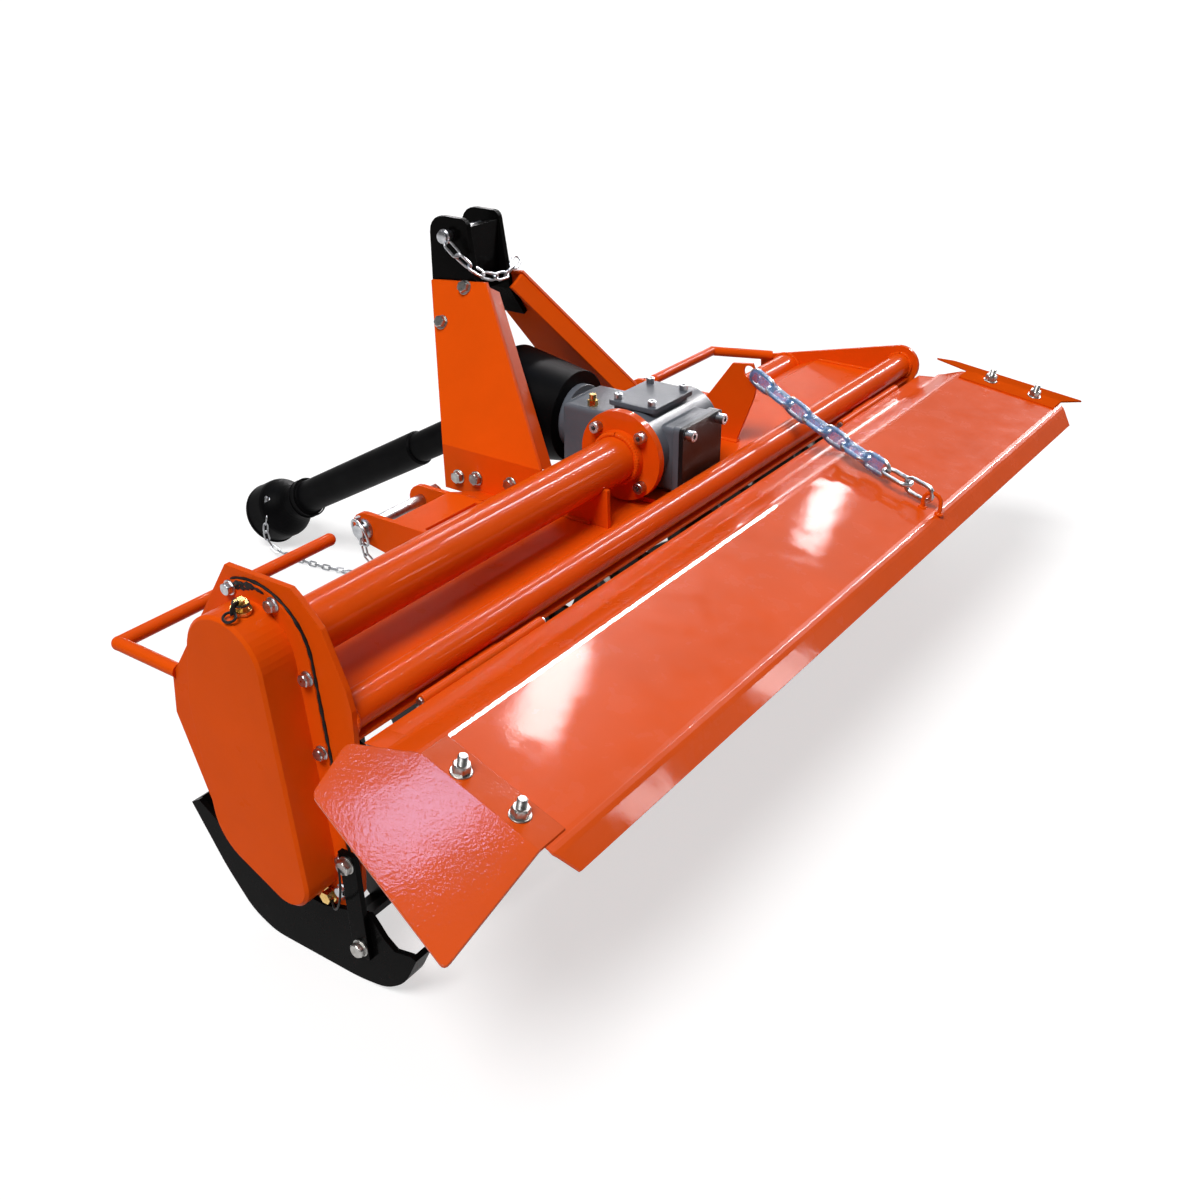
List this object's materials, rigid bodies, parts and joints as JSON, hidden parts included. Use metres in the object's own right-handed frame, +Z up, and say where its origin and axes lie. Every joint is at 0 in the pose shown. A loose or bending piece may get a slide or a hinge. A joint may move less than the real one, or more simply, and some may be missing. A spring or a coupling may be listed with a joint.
{
  "type": "three-point-hitch rotary tiller",
  "caption": "Rotary tiller for a tractor's three-point hitch: tined rotor under a sheet hood, side chain case, gearbox, splayed mast, guarded drive shaft and hinged tailgate on a lift chain.",
  "frame": {"origin": "on the floor under the middle of the whole machine's box", "axes": "+X to the machine's right seen from behind, +Y towards the tractor, +Z up"},
  "size_m": [2.0254, 1.5026, 0.78],
  "materials": {
    "orange_paint": "glossy powder coat",
    "black_paint": "glossy black paint",
    "black_plastic": "satin moulded plastic",
    "gearbox_casting": "dark blue-grey paint on a casting",
    "zinc_steel": "zinc plated",
    "brass": "bright brass",
    "blue_sleeve": "thin translucent blue film"
  },
  "bodies": {
    "frame": {"hood": "orange_paint", "front_tube": "orange_paint", "rear_tube": "orange_paint", "side_plate_left": "orange_paint", "side_plate_right": "orange_paint", "chain_case": "orange_paint", "case_plugs": "brass", "bearing_hub": "orange_paint", "drive_tube": "orange_paint", "gearbox_housing": "gearbox_casting", "gearbox_top_cover": "gearbox_casting", "gearbox_rear_cover": "gearbox_casting", "gearbox_saddle": "orange_paint", "breather": "brass", "tube_saddle": "orange_paint", "chain_gusset": "orange_paint", "mast_plate_left": "orange_paint", "mast_plate_right": "orange_paint", "top_clevis": "black_paint", "top_link_pin": "zinc_steel", "hitch_bracket_left": "orange_paint", "hitch_bracket_right": "orange_paint", "hitch_pin_left": "zinc_steel", "hitch_pin_right": "zinc_steel", "guard_left": "orange_paint", "guard_right": "orange_paint", "skid_left": "black_paint", "skid_right": "black_paint", "skid_brace_left": "black_paint", "skid_brace_right": "black_paint", "hinge_straps": "orange_paint", "hinge_pins": "zinc_steel", "lift_chain": "zinc_steel", "chain_sleeve": "blue_sleeve", "input_shield": "black_plastic", "input_yoke": "zinc_steel"},
    "rotor": {"rotor_shaft": "black_paint", "tines": "black_paint"},
    "tailgate": {"tailgate_panel": "orange_paint", "tailgate_barrels": "orange_paint", "flap_left": "orange_paint", "flap_right": "orange_paint", "chain_lug": "orange_paint"},
    "shaft_inner": {"shaft_joint": "zinc_steel", "shaft_guard_inner": "black_plastic"},
    "shaft_outer": {"shaft_guard_outer": "black_plastic"},
    "shaft_end": {"shaft_yoke": "zinc_steel"}
  },
  "joints": [
    {"name": "rotor_spin", "type": "hinge", "parent": "frame", "child": "rotor", "pos_m": [0, -0.28235, 0.188], "axis": [1, 0, 0], "continuous": true},
    {"name": "tailgate_hinge", "type": "hinge", "parent": "frame", "child": "tailgate", "pos_m": [0, -0.42935, 0.385], "axis": [-1, 0, 0], "range_deg": [0, 60], "deforming": ["lift_chain", "chain_sleeve"]},
    {"name": "shaft_swing", "type": "hinge", "parent": "frame", "child": "shaft_inner", "pos_m": [0.064, 0.01065, 0.457], "axis": [1, 0, 0], "range_deg": [0, 50]},
    {"name": "shaft_slide", "type": "slide", "parent": "shaft_inner", "child": "shaft_outer", "axis": [0, 0.8707, -0.4918], "range_m": [-0.15, 0.1]},
    {"name": "yoke_spin", "type": "hinge", "parent": "shaft_outer", "child": "shaft_end", "pos_m": [0.064, 0.01065, 0.457], "axis": [0, 0.8707, -0.4918], "continuous": true}
  ],
  "couplings": [
    {"joint": "yoke_spin", "follows": "rotor_spin", "ratio": -2.5}
  ]
}
